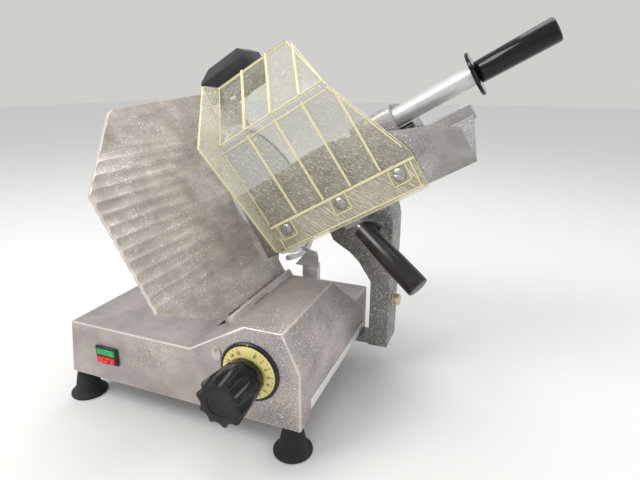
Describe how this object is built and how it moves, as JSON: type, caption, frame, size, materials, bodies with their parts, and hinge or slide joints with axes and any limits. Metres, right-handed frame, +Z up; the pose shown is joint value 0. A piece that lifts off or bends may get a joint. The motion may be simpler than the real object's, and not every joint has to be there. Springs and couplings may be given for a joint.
{
  "type": "meat slicer",
  "caption": "Gravity-feed slicer with a tilted round blade, ribbed gauge plate, thickness knob, and a sliding tray with clear guard, handle and food pusher.",
  "frame": {"origin": "middle of the bounding box on the table, under the feet", "axes": "+X right along the front, +Y to the rear along the carriage's travel, +Z up; the food slope rises 30 degrees towards +X"},
  "size_m": [0.6056, 0.4934, 0.5107],
  "materials": {
    "cast_aluminium": "satin cast, aged",
    "anodised_plate": "satin anodised, aged",
    "steel": "bright",
    "blade_steel": "polished",
    "zinc": "passivated",
    "bronze": "satin",
    "clear_guard": "scratched, yellowed",
    "black_plastic": "gloss",
    "dial_yellow": "satin",
    "green_plastic": "satin",
    "red_plastic": "satin",
    "rubber": "matt",
    "stone": "gritty",
    "motor_paint": "semi-gloss",
    "nylon": "satin"
  },
  "bodies": {
    "base": {"base_housing": "cast_aluminium", "bottom_cover": "steel", "foot_front_left": "rubber", "foot_front_right": "rubber", "foot_rear_left": "rubber", "foot_rear_right": "rubber", "switch_bezel": "black_plastic", "oval_plate": "zinc", "dial_bezel": "black_plastic", "motor_body": "motor_paint", "motor_bracket": "steel", "capacitor": "motor_paint", "cable_gland": "black_plastic", "blade_column": "cast_aluminium", "spindle_bearings": "steel", "blade_ring_guard": "anodised_plate", "slice_deflector": "anodised_plate", "drive_belt": "rubber", "carriage_rod": "steel", "guide_bar": "steel", "gauge_rod": "steel", "sharpener_base": "cast_aluminium"},
    "blade": {"blade": "blade_steel", "spindle": "steel", "blade_nut": "steel", "blade_pulley": "black_plastic"},
    "motor_rotor": {"motor_shaft": "steel", "motor_pulley": "black_plastic"},
    "knob": {"knob": "black_plastic", "dial_ring": "dial_yellow", "knob_shaft": "steel", "thickness_cam": "bronze"},
    "gauge": {"gauge_plate": "anodised_plate", "gauge_carrier": "cast_aluminium", "gauge_screw": "steel", "cam_follower": "steel"},
    "green_button": {"green_button": "green_plastic"},
    "red_button": {"red_button": "red_plastic"},
    "carriage": {"slide_block": "cast_aluminium", "guide_shoe": "nylon", "support_arm": "cast_aluminium", "arm_bolt": "zinc", "tray": "cast_aluminium", "guard": "clear_guard", "guard_screw_1": "steel", "guard_screw_2": "steel", "guard_screw_3": "steel", "carriage_handle": "black_plastic", "handle_stud": "steel", "pusher_rod": "steel"},
    "pusher_slider": {"pusher_bush": "bronze"},
    "pusher": {"pusher_arm": "cast_aluminium", "pusher_plate": "cast_aluminium", "pusher_tube": "anodised_plate", "hand_disc": "black_plastic", "pusher_grip": "black_plastic", "lock_knob": "black_plastic"},
    "sharpener_cover": {"sharpener_cover": "black_plastic"},
    "sharpening_stone": {"sharpening_stone": "stone"},
    "honing_stone": {"honing_stone": "stone"}
  },
  "joints": [
    {"name": "carriage_slide", "type": "slide", "parent": "base", "child": "carriage", "axis": [0, 1, 0], "range_m": [-0.19, 0]},
    {"name": "knob_turn", "type": "hinge", "parent": "base", "child": "knob", "pos_m": [0.00555, -0.18225, 0.1121], "axis": [0, -1, 0], "range_deg": [0, 337]},
    {"name": "gauge_slide", "type": "slide", "parent": "base", "child": "gauge", "axis": [-0.866, 0, -0.5], "range_m": [0, 0.015]},
    {"name": "blade_spin", "type": "hinge", "parent": "base", "child": "blade", "pos_m": [-0.11802, 0.12175, 0.25655], "axis": [0.866, 0, 0.5], "continuous": true},
    {"name": "motor_spin", "type": "hinge", "parent": "base", "child": "motor_rotor", "pos_m": [-0.055, -0.03425, 0.0874], "axis": [0.866, 0, 0.5], "continuous": true},
    {"name": "green_press", "type": "slide", "parent": "base", "child": "green_button", "axis": [0, 1, 0], "range_m": [0, 0.0025], "stiffness_N_per_m": 300},
    {"name": "red_press", "type": "slide", "parent": "base", "child": "red_button", "axis": [0, 1, 0], "range_m": [0, 0.0025], "stiffness_N_per_m": 300},
    {"name": "pusher_slide", "type": "slide", "parent": "carriage", "child": "pusher_slider", "axis": [0.866, 0, 0.5], "range_m": [-0.165, 0.06]},
    {"name": "pusher_lift", "type": "hinge", "parent": "pusher_slider", "child": "pusher", "pos_m": [0.07988, 0.21575, 0.32577], "axis": [-0.866, 0, -0.5], "range_deg": [0, 75]},
    {"name": "sharpener_cover_hinge", "type": "hinge", "parent": "base", "child": "sharpener_cover", "pos_m": [-0.19913, 0.16745, 0.40602], "axis": [-0.866, 0, -0.5], "range_deg": [0, 95]},
    {"name": "sharpening_stone_spin", "type": "hinge", "parent": "base", "child": "sharpening_stone", "pos_m": [-0.21393, 0.13175, 0.42865], "axis": [0.866, 0, 0.5], "continuous": true},
    {"name": "honing_stone_spin", "type": "hinge", "parent": "base", "child": "honing_stone", "pos_m": [-0.20527, 0.13175, 0.43365], "axis": [0.866, 0, 0.5], "continuous": true}
  ],
  "couplings": [
    {"joint": "gauge_slide", "follows": "knob_turn", "m_per_rad": 0.00255},
    {"joint": "motor_spin", "follows": "blade_spin", "ratio": 2.3077}
  ]
}
